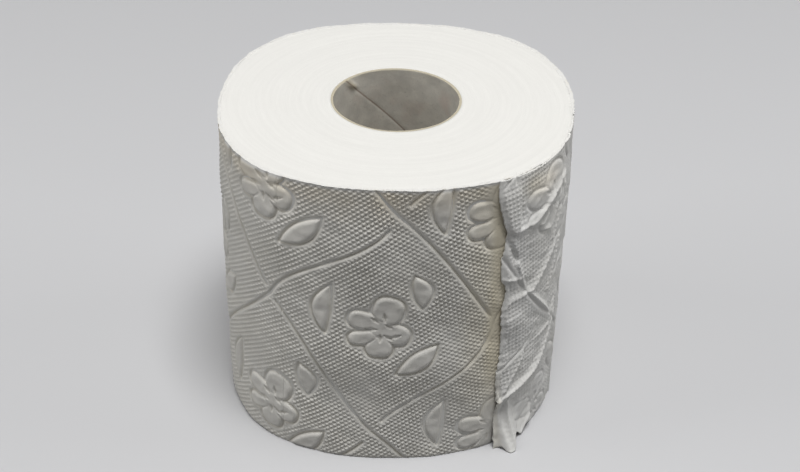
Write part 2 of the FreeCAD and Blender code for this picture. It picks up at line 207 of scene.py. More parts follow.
# Petals of a blossom: middle from the blossom's own, half length, half width, in millimetres, and
# direction in degrees.
PETALS = (
    (1.6, 6.0, 5.2, 5.2, 70),
    (-6.2, 2.0, 5.1, 3.6, 166),
    (-6.2, -4.3, 5.0, 2.9, 188),
    (-1.2, -7.3, 4.4, 4.6, 264),
    (3.9, -3.0, 4.9, 4.1, 342),
)
HEART = (-0.6, -0.6, 3.9, 3.7, 0)
PETAL_POWER = 2.5
# Short marks at a blossom's middle: middle, half length, half width and direction.
STAMENS = (
    (0.5, 3.6, 1.3, 0.2, 95),
    (1.6, -3.8, 1.3, 0.2, 325),
    (3.9, -3.4, 1.5, 0.2, 20),
    (-0.9, -4.2, 1.2, 0.2, 92),
    (-3.9, -0.9, 1.7, 0.2, 178),
    (-2.6, 2.4, 1.2, 0.2, 140),
    (1.8, 0.3, 1.0, 0.2, 325),
)
# Leaves of a blossom: middle, length, width, direction and bend.
LEAVES = (
    (-17.1, 5.2, 17.9, 5.9, 84.5, 2.2),
    (10.9, 12.6, 12.3, 6.4, 103.0, -1.2),
    (10.8, -12.4, 17.2, 6.6, 39.5, -0.9),
)
# Vines: how they lean with height, how far they stop from a corner where they pass under, where the
# corners lie off their lattice in the two kinds of row, and each vine's bow and skew for the kinds
# of blossom, in millimetres.
VINE_LEAN = 0.097
RISING_BREAK = 5.0
FALLING_BREAK = 3.0
CORNER_OFF = ((-0.5, 1.4), (0.8, -1.3))
RISING = ((0.4, 2.3), (-2.3, 2.5), (0.4, 2.3), (0.4, 0.4))
FALLING = ((1.9, 0.4), (0.2, 0.8), (1.9, 0.4), (0.2, 0.8))


def turned(along, height, direction):
    """Coordinates along and across a direction, given in degrees."""
    cos = math.cos(math.radians(direction))
    sin = math.sin(math.radians(direction))
    return along * cos + height * sin, height * cos - along * sin


def ellipse_distance(along, height, shape):
    """About how far a point lies outside a blunt ellipse, measured towards its middle."""
    middle_along, middle_up, half_length, half_width, direction = shape
    forward, aside = turned(along - middle_along, height - middle_up, direction)
    power = np.abs(forward / half_length) ** PETAL_POWER + np.abs(aside / half_width) ** PETAL_POWER
    stretch = power ** (1 / PETAL_POWER) + 1e-6
    return np.hypot(forward, aside) * (1 - 1 / stretch) + 1e-6 - (stretch < 0.02) * half_width


def leaf_distance(along, height, shape):
    """About how far a point lies outside a leaf: two parabolas that meet at its tips."""
    middle_along, middle_up, length, width, direction, bend = shape
    forward, aside = turned(along - middle_along, height - middle_up, direction)
    share = 2 * forward / length
    bow = 1 - share ** 2
    beside = (np.abs(aside - bend * bow) - width / 2 * bow) / np.sqrt(1 + (width / length * share) ** 2)
    past_tip = np.hypot(np.maximum(np.abs(forward) - length / 2, 0), aside)
    return np.where(np.abs(share) < 1, beside, past_tip)


def blossom_distance(along, height):
    """How far a point lies outside a blossom, and how near it is to a fold between two petals.

    The outline is that of all petals and the heart together. A fold runs where the two nearest
    petals are equally far, and fades out towards the heart.
    """
    near = np.sort([ellipse_distance(along, height, petal) for petal in PETALS], axis=0)
    outside = np.minimum(near[0], ellipse_distance(along, height, HEART))
    fold = np.exp(-((near[1] - near[0]) / 0.5) ** 2)
    fold = fold * ease((np.hypot(along, height) - 4.0) / 2.5) * ease((0.6 - near[1]) / 0.8)
    return outside, fold


def vine_distance(along, height, start, end, breaks, bend):
    """Distance from the line of a vine: a chord bowed by a parabola and skewed by a cubic."""
    run = math.hypot(end[0] - start[0], end[1] - start[1])
    direction = math.degrees(math.atan2(end[1] - start[1], end[0] - start[0]))
    forward, aside = turned(along - start[0], height - start[1], direction)
    share = np.clip(forward / run, 0, 1)
    bow, skew = bend
    line = share * (1 - share) * (4 * bow + 10.4 * skew * (1 - 2 * share))
    slope = (4 * bow * (1 - 2 * share) + 10.4 * skew * (1 - 6 * share + 6 * share ** 2)) / run
    beside = np.abs(aside - line) / np.sqrt(1 + slope ** 2)
    past_end = np.maximum(breaks[0] - forward, forward - run + breaks[1])
    return np.hypot(beside, np.maximum(past_end, 0))


def blossom_places(low, high):
    """Middles of the blossoms near a stretch of web, in millimetres, and each one's kind.

    Kinds 1 and 3 stand in the rows between, and kinds 2 and 3 in every second column.
    """
    grid = pattern()
    along = grid.repeat_along / MM
    drop = grid.repeat_drop / MM
    up = grid.repeat_up / MM
    margin = 45.0
    places = []
    for half in (0, 1):
        for i in range(-7, 4):
            for j in (-2, -1, 0, 1, 2):
                place = grid.first_along / MM + (i + half / 2) * along
                height = grid.first_height / MM - (i + half / 2) * drop + (j + half / 2) * up
                if low - margin < place < high + margin and -margin < height < 100 + margin:
                    places.append((place, height, half + 2 * (i % 2)))
    return places


def pressed(along, height, dotting=1.0):
    """Relief of the pressed pattern and how plain the paper is, for points of the web.

    Petals and leaves puff up inside a groove along their outline, vines are grooves, and the rest
    is covered by a product of two cosines, whose crests and dips form a centred lattice of dots.
    """
    grid = pattern()
    x = along / MM
    y = height / MM
    step_along = grid.repeat_along / MM / 2
    step_drop = grid.repeat_drop / MM / 2
    step_up = grid.repeat_up / MM / 2
    far = np.full(x.shape, 99.0)
    motif = far.copy()
    vine = far.copy()
    mark = far.copy()
    folds = np.zeros(x.shape)
    lean = VINE_LEAN * (y - grid.first_height / MM)
    for place, level, kind in blossom_places(x.min(), x.max()):
        dx = x - place
        dy = y - level
        outside, fold = blossom_distance(dx, dy)
        motif = np.minimum(motif, outside)
        folds = np.maximum(folds, fold)
        for stamen in STAMENS:
            mark = np.minimum(mark, ellipse_distance(dx, dy, stamen))
        for leaf in LEAVES:
            motif = np.minimum(motif, leaf_distance(dx, dy, leaf))
        half = kind % 2
        side = CORNER_OFF[half]
        over = CORNER_OFF[1 - half]
        left = (side[0] - step_along, side[1] + step_drop)
        right = (side[0] + step_along, side[1] - step_drop)
        top = (over[0], over[1] + step_up)
        for start, end, gap, bend in ((left, top, RISING_BREAK, RISING[kind]),
                                      (top, right, FALLING_BREAK, FALLING[kind])):
            breaks = (gap * half, gap * (1 - half))
            vine = np.minimum(vine, vine_distance(dx - lean, dy, start, end, breaks, bend))
    width = grid.groove_width / MM
    relief = grid.puff * ease(-motif / 1.6) * (1 + 0.15 * waves(x, y, 5.0, seed=5))
    relief = relief - grid.groove * np.exp(-(motif / width) ** 2)
    relief = relief - 0.45 * grid.groove * folds
    relief = relief - 1.05 * grid.groove * np.exp(-(vine / (0.9 * width)) ** 2)
    relief = relief + 0.2 * grid.groove * np.exp(-((vine - 1.2) / 0.5) ** 2)
    relief = relief - 0.9 * grid.groove * np.exp(-(np.maximum(mark, 0) / 0.4) ** 2)
    plain = 1 - ease((np.minimum(motif, vine) - 0.9) / 0.9)
    column = (x + 0.145 * y) * MM / grid.dot_along
    row = (y - 0.05 * x) * MM / grid.dot_up
    dots = np.cos(FULL_TURN * column) * np.cos(FULL_TURN * row)
    strength = 1 + 0.25 * waves(x, y, 19.0, seed=4)
    relief = relief + grid.dot_height * dots * strength * (1 - plain) * dotting
    return relief, plain


# Tail

# Creases of the tail: start and end along the web and in height, the lift at both, and how far the
# paper falls away on the left and on the right of the line, all in millimetres.
CREASES = (
    (-2.3, 83.7, 2.0, 81.4, 1.5, 1.9, 3.0, 3.0),
    (2.0, 81.4, 9.1, 82.0, 1.9, 1.7, 4.0, 3.0),
    (9.1, 82.0, 16.7, 87.0, 1.7, 2.0, 2.2, 3.5),
    (16.7, 87.0, 25.4, 90.3, 2.0, 1.5, 2.5, 3.5),
    (9.4, 79.6, 13.1, 79.2, 1.1, 1.3, 2.0, 1.5),
    (13.1, 79.2, 15.0, 82.0, 1.3, 1.4, 1.4, 1.6),
    (14.4, 76.6, 17.5, 75.6, 1.1, 1.4, 2.0, 2.0),
    (17.5, 75.6, 20.1, 81.9, 1.4, 1.5, 1.6, 2.0),
    (20.1, 81.9, 22.3, 85.6, 1.5, 1.5, 1.6, 2.0),
    (20.2, 70.0, 23.4, 76.7, 1.2, 1.4, 1.6, 2.5),
    (23.4, 76.7, 26.5, 86.0, 1.4, 1.4, 1.6, 2.5),
    (-0.5, 101.0, -2.5, 97.6, 0.9, 1.2, 5.0, 3.0),
    (-2.5, 97.6, -4.0, 91.0, 1.2, 1.5, 5.0, 2.5),
    (-2.2, 65.2, 4.2, 63.4, 1.7, 1.6, 7.0, 2.0),
    (2.9, 70.1, 4.8, 64.9, 1.5, 1.5, 1.8, 2.0),
    (4.8, 64.9, 6.5, 59.0, 1.5, 1.3, 1.6, 1.6),
    (-1.2, 64.5, 0.3, 60.0, 1.2, 1.4, 1.4, 1.4),
    (0.3, 60.0, -0.4, 55.0, 1.4, 1.2, 1.4, 1.4),
    (-1.4, 53.1, 1.5, 56.4, 1.1, 1.4, 2.0, 6.0),
    (1.5, 56.4, 10.5, 57.0, 1.4, 1.7, 2.5, 6.0),
    (10.5, 57.0, 14.9, 61.5, 1.7, 1.7, 3.0, 5.0),
    (14.9, 61.5, 21.0, 67.0, 1.7, 1.5, 3.0, 5.0),
    (19.4, 51.5, 22.4, 59.0, 1.1, 1.3, 1.5, 3.0),
    (22.4, 59.0, 25.2, 67.5, 1.3, 1.3, 1.5, 3.0),
    (9.3, 56.1, 18.4, 45.6, 1.7, 1.6, 1.8, 6.0),
    (18.4, 45.6, 24.0, 37.7, 1.6, 1.4, 1.8, 6.0),
    (25.8, 42.5, 22.0, 36.6, 1.3, 1.4, 4.0, 2.5),
    (22.0, 36.6, 15.5, 36.1, 1.4, 1.0, 4.0, 2.5),
    (16.7, 44.4, 9.9, 41.6, 0.9, 0.9, 2.5, 2.5),
    (-0.9, 18.4, 3.8, 20.6, 2.5, 2.6, 2.2, 5.0),
    (3.8, 20.6, 10.0, 22.0, 2.6, 2.3, 2.2, 3.5),
    (10.0, 22.0, 15.4, 24.2, 2.3, 2.1, 2.2, 3.0),
    (15.4, 24.2, 19.2, 28.0, 2.1, 1.8, 2.4, 3.0),
    (19.2, 28.0, 26.5, 38.0, 1.8, 1.4, 3.0, 4.0),
    (0.5, 40.9, -0.9, 36.5, 1.1, 1.3, 1.2, 2.0),
    (-0.9, 36.5, -1.5, 28.8, 1.3, 1.3, 2.0, 1.5),
    (-1.5, 28.8, -0.9, 18.4, 1.3, 2.2, 3.0, 1.5),
    (7.7, 32.2, 0.5, 20.2, 1.2, 2.0, 1.3, 4.0),
    (2.6, 17.0, 3.6, 0.0, 2.2, 1.4, 2.5, 1.5),
    (13.5, 5.2, 9.2, 1.0, 2.2, 2.4, 2.0, 3.0),
    (31.0, 94.0, 34.0, 62.0, 0.5, 1.2, 4.0, 5.0),
    (33.0, 0.0, 29.0, 44.0, 1.2, 1.2, 4.0, 5.0),
    (40.0, 96.0, 44.0, 20.0, 0.6, 0.6, 5.0, 5.0),
)
# The free edge: height, and how far forward the edge lies along the web there, in millimetres.
EDGE = (
    (0, -2.0), (4, -1.9), (9, -1.6), (15, -1.3), (18, -1.4), (29, -1.7), (38, -0.7), (46, -0.9),
    (53, -1.4), (57, -0.5), (61, 0.0), (65, -2.2), (72, -2.4), (78, -1.3), (81, -1.0), (84, -2.2),
    (88, -3.1), (92, -4.3), (96, -4.9), (100, -4.3),
)

# The pull on the tail draws its pattern along and up, and its dots stand closer, in millimetres.
DRAWN_ALONG = 0.5
DRAWN_UP = 5.8
TAIL_DOT_ALONG = 1.3
TAIL_DOT_UP = 1.54
# How far the tail's bottom corner flares out, in millimetres, and one cell of the tail's mesh.
CORNER_FLARE = 6.4
TAIL_CELL = 0.35 * MM


def crease(along, height, shape):
    """A crease: its lift at the line, falling evenly with the distance, and a narrow crest on top."""
    start_along, start_height, end_along, end_height, first, last, left, right = shape
    run_along = end_along - start_along
    run_up = end_height - start_height
    length = math.hypot(run_along, run_up)
    x = along - start_along
    y = height - start_height
    share = np.clip((x * run_along + y * run_up) / length ** 2, 0, 1)
    side = (y * run_along - x * run_up) / length
    distance = np.hypot(x - share * run_along, y - share * run_up)
    reach = np.where(side > 0, left, right)
    crest = 0.2 * np.maximum(0, 1 - distance / 0.9)
    slope = np.maximum(0, 1 - np.hypot(distance, 0.1) / (1.35 * reach))
    return (first + (last - first) * share) * (0.72 * slope + crest)


def free_edge(height):
    """Where the free edge lies along the web: a measured line, a little rough."""
    y = height / MM
    levels, places = np.array(EDGE).T
    line = np.mean([np.interp(y + step, levels, places) for step in (-1.2, -0.4, 0.4, 1.2)], axis=0)
    return (line + 0.12 * waves(y, 0 * y, 2.3, seed=9)) * MM


def tail_lift(along, height):
    """How far the tail's outer side stands off the turn under it.

    It is the web's thickness plus the highest of the creases, a leaning facet at the top of the
    free edge, and soft swells. The bottom corner flares out to a tip, the paper stays low along its
    sawn top and its glued margin, and at its root it joins the last turn.
    """
    roll = sizes()
    x = along / MM
    y = height / MM
    folds = 0.45 + 0.15 * waves(x, y, 15.0, seed=12) + 0.08 * waves(x, y, 4.5, seed=13)
    facet = (0.7 + 1.0 * (100 - y) / 18) * ease((3.9 - x) / 1.8) * ease((y - 79) / 3.5)
    folds = np.maximum(folds, facet)
    for shape in CREASES:
        folds = np.maximum(folds, crease(x, y, shape))
    valley = crease(x, y, (-1.2, 79.3, 3.0, 70.5, 1.0, 1.0, 0.9, 1.3))
    folds = folds + 0.7 * np.exp(-(((x - 1) / 4) ** 2 + ((y - 75) / 6) ** 2)) - 1.2 * valley
    folds = folds + 1.1 * np.exp(-((x - 3) / 8) ** 2 - ((y - 48) / 5) ** 2)
    folds = folds + 0.5 * np.exp(-((x - 6) / 12) ** 2 - ((y - 32) / 9) ** 2)
    open_top = 0.3 * (1 - ease((x - 8) / 10))
    inward = ease(x / 14)
    low = ease((100 - y) / 9) * (1 - inward) + (1 - ease((y - 91) / 9)) * inward
    root_top = ease((x - 25) / 5) * ease((y - 86) / 8)
    folds = folds * np.clip(open_top + low, 0, 1) * (1 - root_top)
    margin = ease((x - free_edge(height) / MM) / 2.0)
    folds = folds * (0.4 + 0.6 * np.maximum(margin, ease((24 - y) / 6)))
    corner = np.clip(1 - y / 14, 0, 1) ** 1.5 * ease((10.5 - x) / 8.5)
    turned_down = 1 - 0.7 * ease((0.9 - x) / 2.0)
    lift = 0.1 + CORNER_FLARE * corner * turned_down
    return (roll.web + (np.maximum(folds + lift, 0.02) * MM)) * ease((50 - x) / 12)


def tail_relief(along, height):
    """Relief of the tail: the pattern, drawn upwards by the pull on the paper, with closer dots.

    The dots are a product of two raised cosines here. They cover the pattern at the leaning facet,
    and near the bottom the paper is worn nearly plain.
    """
    grid = pattern()
    x = along / MM
    y = height / MM
    drawn = ease((48 - x) / 20)
    motifs = pressed(along + DRAWN_ALONG * MM * drawn, height - DRAWN_UP * MM * drawn, 1 - drawn)
    columns = 1 + np.cos(FULL_TURN * (x + 0.1 * y) / TAIL_DOT_ALONG)
    rows = 1 + np.cos(FULL_TURN * (y - 0.12 * x) / TAIL_DOT_UP)
    dots = columns * rows / 4 - 0.25
    facet = ease((4.5 - x) / 1.5) * ease((y - 81) / 2) * ease((99 - y) / 3)
    worn = 1 - 0.5 * ease((24 - y) / 10) * ease((18 - x) / 8)
    flat = motifs[1] * (1 - facet)
    from_edge = x - free_edge(height) / MM
    dotted = 0.95 * grid.dot_height * dots * drawn * (1 - flat) * ease(from_edge / 1.5 - 0.3)
    return worn * (motifs[0] * (1 - facet) * (1 - 0.4 * drawn) + dotted)


# Meshes

def put_mesh(name, points, faces, smooth, material, values=()):
    """A new piece from arrays: points, lists of equal faces, which of them are smooth, and values.

    Faces come as arrays of rows of point numbers, one array for each count of corners.
    """
    mesh = bpy.data.meshes.new(name)
    mesh.vertices.add(len(points))
    mesh.vertices.foreach_set("co", np.ascontiguousarray(points, dtype=np.float32).ravel())
    corners = np.concatenate([block.ravel() for block in faces]).astype(np.int32)
    counts = np.concatenate([np.full(len(block), block.shape[1]) for block in faces])
    starts = np.concatenate([[0], np.cumsum(counts)[:-1]]).astype(np.int32)
    mesh.loops.add(len(corners))
    mesh.loops.foreach_set("vertex_index", corners)
    mesh.polygons.add(len(counts))
    mesh.polygons.foreach_set("loop_start", starts)
    flags = np.concatenate([np.full(len(block), soft) for block, soft in zip(faces, smooth)])
    mesh.update(calc_edges=True)
    mesh.polygons.foreach_set("use_smooth", flags)
    for label, value in values:
        layer = mesh.attributes.new(label, "FLOAT", "POINT")
        layer.data.foreach_set("value", np.ascontiguousarray(value, dtype=np.float32).ravel())
    if mesh.validate():
        raise RuntimeError(f"{name} has faulty faces")
    mesh.materials.append(material)
    piece = bpy.data.objects.new(name, mesh)
    bpy.context.scene.collection.objects.link(piece)
    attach(piece, "root")
    return piece


def quads(low_left, low_right, high_right, high_left):
    """Four-cornered faces from four arrays of point numbers, turned the way they are named."""
    return np.stack([part.ravel() for part in (low_left, low_right, high_right, high_left)], axis=1)


def grid_triangles(numbers, value):
    """Triangles of a grid that face outwards, each cell split between its two most equal corners."""
    low_left, low_right = numbers[:-1, :-1], numbers[:-1, 1:]
    high_left, high_right = numbers[1:, :-1], numbers[1:, 1:]
    rising = np.abs(value[:-1, :-1] - value[1:, 1:]) <= np.abs(value[:-1, 1:] - value[1:, :-1])
    first = np.where(rising[..., None], np.stack([low_left, low_right, high_right], axis=-1),
                     np.stack([low_left, low_right, high_left], axis=-1))
    second = np.where(rising[..., None], np.stack([low_left, high_right, high_left], axis=-1),
                      np.stack([low_right, high_right, high_left], axis=-1))
    return np.concatenate([first.reshape(-1, 3), second.reshape(-1, 3)])


def grid_quads(numbers):
    """Faces of a grid of point numbers, rows up and columns along, that face outwards."""
    return quads(numbers[:-1, :-1], numbers[:-1, 1:], numbers[1:, 1:], numbers[1:, :-1])


def shell_faces(rows, columns, inner_rows, relief):
    """Faces of a closed wall: an outer grid, an inner one with fewer rows or as many, and rims.

    The relief decides which way each cell of the outer grid is split.
    """
    outer = np.arange(rows * columns).reshape(rows, columns)
    inner = rows * columns + np.arange(inner_rows * columns).reshape(inner_rows, columns)
    faces = [grid_triangles(outer, relief), grid_quads(inner)[:, ::-1]]
    faces.append(quads(outer[-1, :-1], outer[-1, 1:], inner[-1, 1:], inner[-1, :-1]))
    faces.append(quads(outer[0, 1:], outer[0, :-1], inner[0, :-1], inner[0, 1:]))
    if inner_rows == rows:
        faces.append(quads(outer[:-1, 0], outer[1:, 0], inner[1:, 0], inner[:-1, 0]))
        faces.append(quads(outer[1:, -1], outer[:-1, -1], inner[:-1, -1], inner[1:, -1]))
    else:
        first = np.concatenate([outer[:, 0], inner[::-1, 0]])
        last = np.concatenate([outer[::-1, -1], inner[:, -1]])
        faces.append(first[None, :])
        faces.append(last[None, :])
    return faces, [True, True] + [False] * (len(faces) - 2)


# Materials

def new_material(name):
    """A material with its own shader: returns it, its nodes, its links and the shader."""
    material = bpy.data.materials.new(name)
    material.use_nodes = True
    nodes = material.node_tree.nodes
    shader = next(node for node in nodes if node.type == "BSDF_PRINCIPLED")
    return material, nodes, material.node_tree.links, shader


def noise_node(nodes, links, source, scale, detail=3.0):
    """A noise texture on the given coordinates, with its scale in features per metre."""
    noise = nodes.new("ShaderNodeTexNoise")
    noise.inputs["Scale"].default_value = scale
    noise.inputs["Detail"].default_value = detail
    links.new(source, noise.inputs["Vector"])
    return noise.outputs["Fac"]


def mixed(nodes, links, factor, first, second):
    """The mix of two colours by a factor; each colour is a value or an output."""
    mix = nodes.new("ShaderNodeMix")
    mix.data_type = "RGBA"
    links.new(factor, mix.inputs["Factor"])
    for socket, colour in ((mix.inputs[6], first), (mix.inputs[7], second)):
        if hasattr(colour, "is_linked"):
            links.new(colour, socket)
        else:
            socket.default_value = (*colour, 1)
    return mix.outputs[2]


def spread(nodes, links, value, low, high, out_low=0.0, out_high=1.0):
    """A value mapped from one range to another, held at its ends."""
    node = nodes.new("ShaderNodeMapRange")
    links.new(value, node.inputs["Value"])
    for label, number in (("From Min", low), ("From Max", high), ("To Min", out_low),
                          ("To Max", out_high)):
        node.inputs[label].default_value = number
    return node.outputs["Result"]


def tissue_material():
    """Bleached tissue: warm white, fuzzy with fine fibres, browned by glue and painted shade, with a
    painted glow under its rim.
    """
    name = "embossed_tissue"
    if name in bpy.data.materials:
        return bpy.data.materials[name]
    material, nodes, links, shader = new_material(name)
    place = nodes.new("ShaderNodeTexCoord").outputs["Object"]
    glue = nodes.new("ShaderNodeAttribute")
    glue.attribute_name = "glue"
    tissue = tuple(colours().tissue)
    cooler = tuple(min(1.0, part * gain) for part, gain in zip(tissue, (0.985, 0.99, 1.01)))
    drift = spread(nodes, links, noise_node(nodes, links, place, 60.0), 0.35, 0.65)
    paper = mixed(nodes, links, drift, tissue, cooler)
    fleck = spread(nodes, links, noise_node(nodes, links, place, 900.0), 0.42, 0.7)
    darker = tuple(part * 0.93 for part in tissue)
    paper = mixed(nodes, links, fleck, paper, darker)
    # Painted highlight: the shine attribute mixes in a golden glow where light would come through the
    # rim.
    shine = nodes.new("ShaderNodeAttribute")
    shine.attribute_name = "shine"
    paper = mixed(nodes, links, shine.outputs["Fac"], paper, tuple(colours().lit_rim))
    # The glue attribute holds real glue stains and, on the stretches, painted shade: a warm tint over
    # the wall and darker pits.
    browned = mixed(nodes, links, glue.outputs["Fac"], paper, tuple(colours().glue))
    links.new(browned, shader.inputs["Base Color"])
    shader.inputs["Roughness"].default_value = 0.95
    shader.inputs["Specular IOR Level"].default_value = 0.15
    shader.inputs["Sheen Weight"].default_value = 0.08
    shader.inputs["Sheen Roughness"].default_value = 0.6
    fibres = noise_node(nodes, links, place, 2600.0, 5.0)
    bump = nodes.new("ShaderNodeBump")
    bump.inputs["Strength"].default_value = 0.55
    bump.inputs["Distance"].default_value = 0.12 * MM
    links.new(fibres, bump.inputs["Height"])
    links.new(bump.outputs["Normal"], shader.inputs["Normal"])
    return material


def end_material():
    """Sawn ends of the winding: white, with faint streaks that follow the turns."""
    material, nodes, links, shader = new_material("sawn_tissue")
    place = nodes.new("ShaderNodeTexCoord").outputs["Object"]
    turn = nodes.new("ShaderNodeAttribute")
    turn.attribute_name = "turn"
    join = nodes.new("ShaderNodeCombineXYZ")
    links.new(turn.outputs["Fac"], join.inputs["X"])
    for label, socket in (("east", "Y"), ("north", "Z")):
        way = nodes.new("ShaderNodeAttribute")
        way.attribute_name = label
        links.new(way.outputs["Fac"], join.inputs[socket])
    streaks = noise_node(nodes, links, join.outputs["Vector"], 2.2, 4.0)
    bands = noise_node(nodes, links, join.outputs["Vector"], 0.45, 2.0)
    tissue = tuple(colours().tissue)
    whiter = tuple(min(1.0, part * 1.03) for part in tissue)
    darker = tuple(part * 0.975 for part in tissue)
    paper = mixed(nodes, links, spread(nodes, links, bands, 0.35, 0.65), whiter, tissue)
    paper = mixed(nodes, links, spread(nodes, links, streaks, 0.55, 0.8), paper, darker)
    links.new(paper, shader.inputs["Base Color"])
    shader.inputs["Roughness"].default_value = 0.97
    shader.inputs["Specular IOR Level"].default_value = 0.1
    fuzz = noise_node(nodes, links, place, 2200.0, 5.0)
    total = nodes.new("ShaderNodeMath")
    total.operation = "MULTIPLY_ADD"
    links.new(streaks, total.inputs[0])
    total.inputs[1].default_value = 0.8
    links.new(fuzz, total.inputs[2])
    bump = nodes.new("ShaderNodeBump")
    bump.inputs["Strength"].default_value = 0.5
    bump.inputs["Distance"].default_value = 0.15 * MM
    links.new(total.outputs["Value"], bump.inputs["Height"])
    links.new(bump.outputs["Normal"], shader.inputs["Normal"])
    return material


# Tints of the board: a stain as a gain on its colour, the cut rim, and the slit of the seam.
RUST = (1.03, 0.92, 0.90)
CUT_RIM = (0.52, 0.47, 0.35)
SEAM_SLIT = (0.29, 0.235, 0.19)


def card_material():
    """Grey board: pale fibres, rusty stains, dull flecks, paler cut rims and the seam's dark slit."""
    material, nodes, links, shader = new_material("grey_board")
    place = nodes.new("ShaderNodeTexCoord").outputs["Object"]
    rim = nodes.new("ShaderNodeAttribute")
    rim.attribute_name = "rim"
    card = tuple(colours().card)
    fibre = tuple(colours().card_fibre)
    blotch = spread(nodes, links, noise_node(nodes, links, place, 260.0, 6.0), 0.35, 0.68)
    board = mixed(nodes, links, blotch, card, fibre)
    rust = spread(nodes, links, noise_node(nodes, links, place, 110.0, 3.0), 0.52, 0.75, 0.0, 0.6)
    board = mixed(nodes, links, rust, board, tuple(part * tint for part, tint in zip(card, RUST)))
    fleck = spread(nodes, links, noise_node(nodes, links, place, 1300.0, 2.0), 0.60, 0.74, 0.0, 0.6)
    board = mixed(nodes, links, fleck, board, tuple(part * 0.82 for part in card))
    board = mixed(nodes, links, rim.outputs["Fac"], board, CUT_RIM)
    seam = nodes.new("ShaderNodeAttribute")
    seam.attribute_name = "seam"
    off = nodes.new("ShaderNodeMath")
    off.operation = "ABSOLUTE"
    links.new(seam.outputs["Fac"], off.inputs[0])
    slit = spread(nodes, links, off.outputs["Value"], 0.12, 0.55, 0.9, 0.0)
    board = mixed(nodes, links, slit, board, SEAM_SLIT)
    links.new(board, shader.inputs["Base Color"])
    shader.inputs["Roughness"].default_value = 0.85
    shader.inputs["Specular IOR Level"].default_value = 0.25
    bump = nodes.new("ShaderNodeBump")
    bump.inputs["Strength"].default_value = 0.5
    bump.inputs["Distance"].default_value = 0.15 * MM
    links.new(noise_node(nodes, links, place, 900.0, 5.0), bump.inputs["Height"])
    links.new(bump.outputs["Normal"], shader.inputs["Normal"])
    return material


# How much of its seen colour the floor scatters, and the strength of the soft light from all sides.
FLOOR_SCATTER = 0.3
SOFT_LIGHT = 0.14


def straight_rays(nodes, links):
    """One for a ray that comes from the camera, a mirror or glass, and zero for scattered light."""
    path = nodes.new("ShaderNodeLightPath")
    total = path.outputs["Is Camera Ray"]
    for label in ("Is Glossy Ray", "Is Transmission Ray"):
        larger = nodes.new("ShaderNodeMath")
        larger.operation = "MAXIMUM"
        links.new(total, larger.inputs[0])
        links.new(path.outputs[label], larger.inputs[1])
        total = larger.outputs["Value"]
    return total


def floor_material():
    """The floor: pale where it is seen, and darker for the light that it scatters upwards."""
    material, nodes, links, shader = new_material("pale_floor")
    pale = tuple(colours().floor)
    dim = tuple(part * FLOOR_SCATTER for part in pale)
    links.new(mixed(nodes, links, straight_rays(nodes, links), dim, pale), shader.inputs["Base Color"])
    shader.inputs["Roughness"].default_value = 0.8
    return material


# Pieces

def sheet_points(low, high, rows):
    """Places along and heights of a stretch of web, on a grid with rough sawn edges."""
    roll = sizes()
    columns = max(3, int(round((high - low) / pattern().cell)) + 1)
    along = np.linspace(low, high, columns)[None, :] + np.zeros((rows, 1))
    x = along[0] / MM
    tufts = 0.05 * waves(x, 0 * x, 2.1, seed=21) + 0.08 * waves(x, 0 * x, 11.0, seed=22)
    top = roll.width + tufts * MM
    bottom = 0.08 * MM * (1 + np.tanh(waves(x, 0 * x, 3.0, seed=23)))
    share = np.linspace(0, 1, rows)[:, None]
    return along, bottom + (top - bottom) * share


def edge_curl(along, height):
    """How far the sawn edges roll outwards: most at the very edge, in uneven stretches."""
    y = height / MM
    x = along / MM
    top = np.exp(-(sizes().width / MM - y) / 0.5)
    bottom = np.exp(-y / 0.6)
    uneven = 0.5 + 0.5 * np.tanh(1.5 * waves(x, 0 * x, 7.0, seed=31))
    return (0.25 * top * uneven - 0.25 * bottom) * MM


def wall_radius(along, height):
    """Radius of the embossed wall: the last turn, its relief, soft swells and rolled edges."""
    relief, _ = pressed(along, height)
    x = along / MM
    y = height / MM
    swell = 0.22 * waves(x, y, 34.0, seed=41) + 0.07 * waves(x, y, 9.0, seed=42)
    past_edge = (along - FULL_TURN * sizes().radius - free_edge(height)) / MM
    covered = ease(past_edge / 1.5 - 0.3)
    smeared = 1 - 0.75 * ease((past_edge + 5.5) / 3)
    edges = 0.1 + 0.9 * ease((sizes().width / MM - y) / 1.6) * ease(y / 1.2)
    relief = relief * (1 - covered) * smeared * edges + swell * MM - 0.5 * MM * covered
    return last_turn(along) + relief + edge_curl(along, height)


def glue_stain(along):
    """Brown of the glue that soaked into the turn beside the tail's free edge."""
    last = FULL_TURN * sizes().radius
    x = (along - last) / MM
    return 0.36 * ease((x + 17) / 9) + 0.5 * ease((x + 8) / 5)


